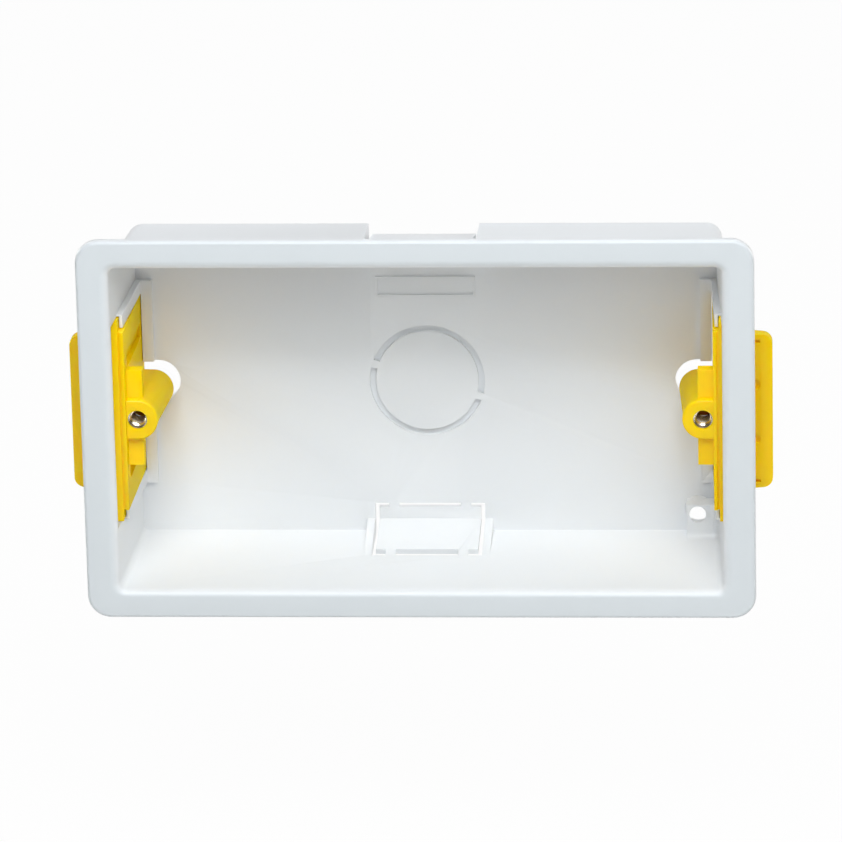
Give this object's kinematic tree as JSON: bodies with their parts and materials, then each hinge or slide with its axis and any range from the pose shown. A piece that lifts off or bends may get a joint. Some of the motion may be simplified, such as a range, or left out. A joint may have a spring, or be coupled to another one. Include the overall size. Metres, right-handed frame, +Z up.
{
  "type": "two-gang dry-lining back box",
  "caption": "Shallow flanged wall box for hollow plasterboard walls, with sliding clamp lugs at its ends that carry threaded inserts for an accessory plate.",
  "frame": {"origin": "middle of the opening, in the plane of the wall's face, where the back of the flange rests", "axes": "+X to the right seen from the room, +Y back into the wall, +Z up"},
  "size_m": [0.15, 0.037, 0.0842],
  "materials": {
    "box_plastic": "moulded, soft gloss",
    "lug_plastic": "moulded, soft gloss",
    "insert_metal": "nickel-plated, machined"
  },
  "bodies": {
    "box": {"box_body": "box_plastic"},
    "right_lug": {"clamp_lug_right": "lug_plastic", "thread_insert_right": "insert_metal"},
    "left_lug": {"clamp_lug_left": "lug_plastic", "thread_insert_left": "insert_metal"}
  },
  "joints": [
    {"name": "right_lug_slide", "type": "slide", "parent": "box", "child": "right_lug", "axis": [0, 1, 0], "range_m": [-0.0025, 0.01]},
    {"name": "left_lug_slide", "type": "slide", "parent": "box", "child": "left_lug", "axis": [0, 1, 0], "range_m": [-0.0025, 0.01]}
  ]
}
